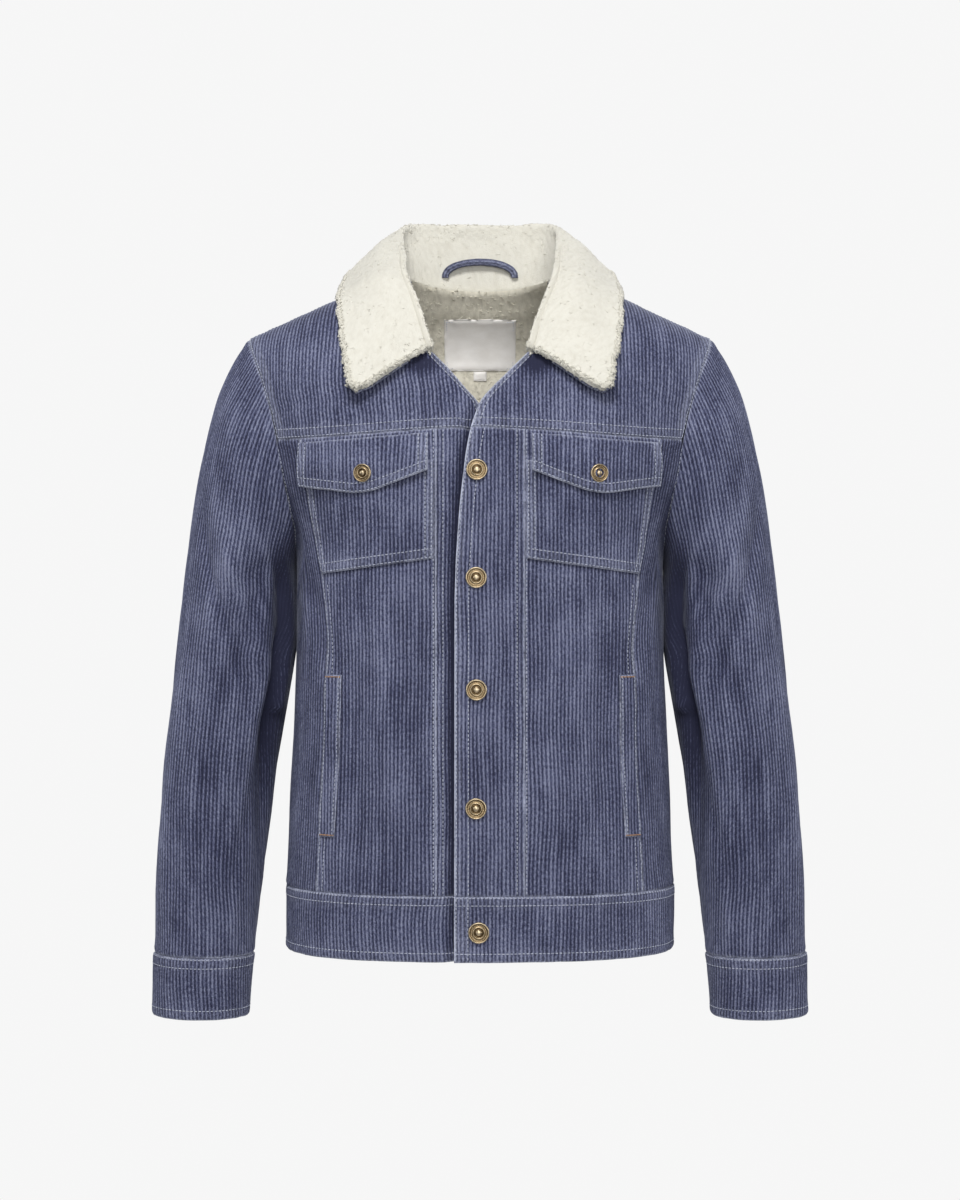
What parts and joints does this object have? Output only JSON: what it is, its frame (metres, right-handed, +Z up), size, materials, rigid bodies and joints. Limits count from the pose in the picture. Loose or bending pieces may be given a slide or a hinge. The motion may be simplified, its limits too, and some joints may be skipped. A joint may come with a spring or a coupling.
{
  "type": "jacket",
  "caption": "Hip-length corduroy jacket with a sherpa collar, chest pockets with buttoned flaps, side welt pockets, brass buttons, waistband and plain cuffs, filled out with no wearer.",
  "frame": {"origin": "middle of the neck at the height of the high shoulder points", "axes": "+Z up, the front faces -Y, +X is the wearer's left"},
  "size_m": [0.5422, 0.2079, 0.6654],
  "materials": {
    "corduroy": "dusty slate-indigo eight-wale cotton corduroy, nap worn pale at seams and edges",
    "sherpa": "cream sherpa pile with small curls",
    "lining": "greyer sherpa lining with a flatter pile",
    "satin": "bare woven satin",
    "brass": "antique brass, dark in the grooves"
  },
  "bodies": {
    "root": {"front_yoke_left": "corduroy", "front_strip_left": "corduroy", "front_panel_left": "corduroy", "chest_pocket_left": "corduroy", "pocket_flap_left": "corduroy", "side_welt_left": "corduroy", "side_panel_left": "corduroy", "sleeve_left": "corduroy", "cuff_left": "corduroy", "flap_button_left": "brass", "front_yoke_right": "corduroy", "front_strip_right": "corduroy", "front_panel_right": "corduroy", "chest_pocket_right": "corduroy", "pocket_flap_right": "corduroy", "side_welt_right": "corduroy", "side_panel_right": "corduroy", "sleeve_right": "corduroy", "cuff_right": "corduroy", "flap_button_right": "brass", "back_panel": "corduroy", "waistband": "corduroy", "under_collar": "corduroy", "hanger_loop": "corduroy", "collar": "sherpa", "back_neck_lining": "lining", "neck_label": "satin", "size_tag": "satin", "placket_button_1": "brass", "placket_button_2": "brass", "placket_button_3": "brass", "placket_button_4": "brass", "placket_button_5": "brass"}
  },
  "joints": []
}
